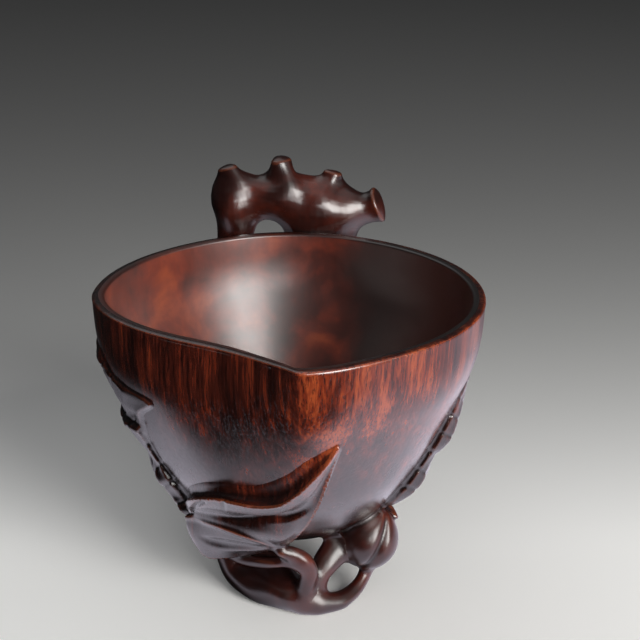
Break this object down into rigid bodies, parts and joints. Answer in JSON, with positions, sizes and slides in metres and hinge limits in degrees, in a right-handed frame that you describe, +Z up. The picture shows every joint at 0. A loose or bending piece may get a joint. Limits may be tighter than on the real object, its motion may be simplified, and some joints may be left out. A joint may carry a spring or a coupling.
{
  "type": "libation cup",
  "caption": "Peach-shaped libation cup carved in dark wood, with leaves in relief, a pruned branch as its handle and a foot of looping roots with a little peach.",
  "frame": {"origin": "on the ground, at the middle of the cup's outline seen from above", "axes": "+Z up, +Y from the pouring tip towards the handle, +X to the right seen from the tip's side"},
  "size_m": [0.0884, 0.109, 0.0892],
  "materials": {
    "bowl": "polished, red-brown with fine dark upright grain",
    "branch": "polished, near black with red-brown edges",
    "leaf": "polished, dark red-brown",
    "fruit": "polished, dark red-brown"
  },
  "bodies": {
    "root": {"bowl": "bowl", "peach": "fruit", "handle_trunk": "branch", "handle_cross_branch": "branch", "handle_left_leg": "branch", "handle_right_fork": "branch", "foot_front_root": "branch", "foot_rear_root": "branch", "foot_toe_left": "branch", "foot_toe_right": "branch", "foot_twig_left": "branch", "foot_twig_right": "branch", "leaf_lower": "leaf", "leaf_front": "leaf", "leaf_left": "leaf", "leaf_right": "leaf", "peach_leaflet": "leaf"}
  },
  "joints": []
}
